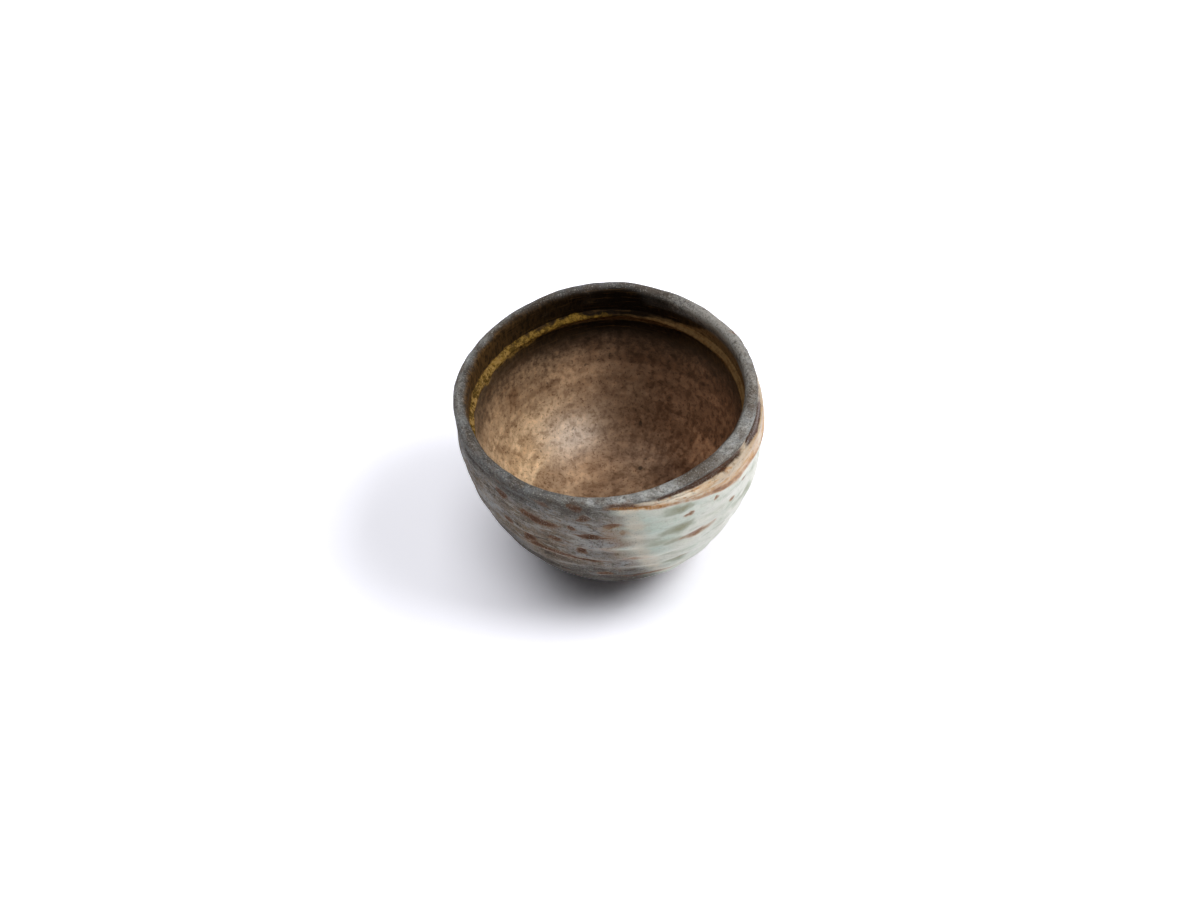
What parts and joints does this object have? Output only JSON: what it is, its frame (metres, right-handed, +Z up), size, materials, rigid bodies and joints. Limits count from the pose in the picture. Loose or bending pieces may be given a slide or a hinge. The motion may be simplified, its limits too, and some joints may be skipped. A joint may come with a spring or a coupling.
{
  "type": "tea cup",
  "caption": "Hand-thrown stoneware tea cup without a handle: deep round bowl on a foot ring, rolled wavy lip, ash bead inside the mouth, celadon over one side.",
  "frame": {"origin": "on the table, below the middle of the mouth", "axes": "+Z up through the mouth, +X towards the celadon side"},
  "size_m": [0.0907, 0.0911, 0.0667],
  "materials": {
    "clay": "dry matte wood-fired stoneware, grey with rust flecks",
    "foot_clay": "bare trimmed stoneware, toasted brown",
    "lip_clay": "blue-grey ash-dusted matte",
    "brown_glaze": "satin speckled brown glaze",
    "ochre_glaze": "granular ochre ash glaze",
    "celadon_glaze": "satin pale celadon glaze with rust edges"
  },
  "bodies": {
    "root": {"thrown_bowl": "clay", "foot_ring": "foot_clay", "lip_roll": "lip_clay", "basin_glaze": "brown_glaze", "ash_bead": "ochre_glaze", "celadon_coat": "celadon_glaze"}
  },
  "joints": []
}
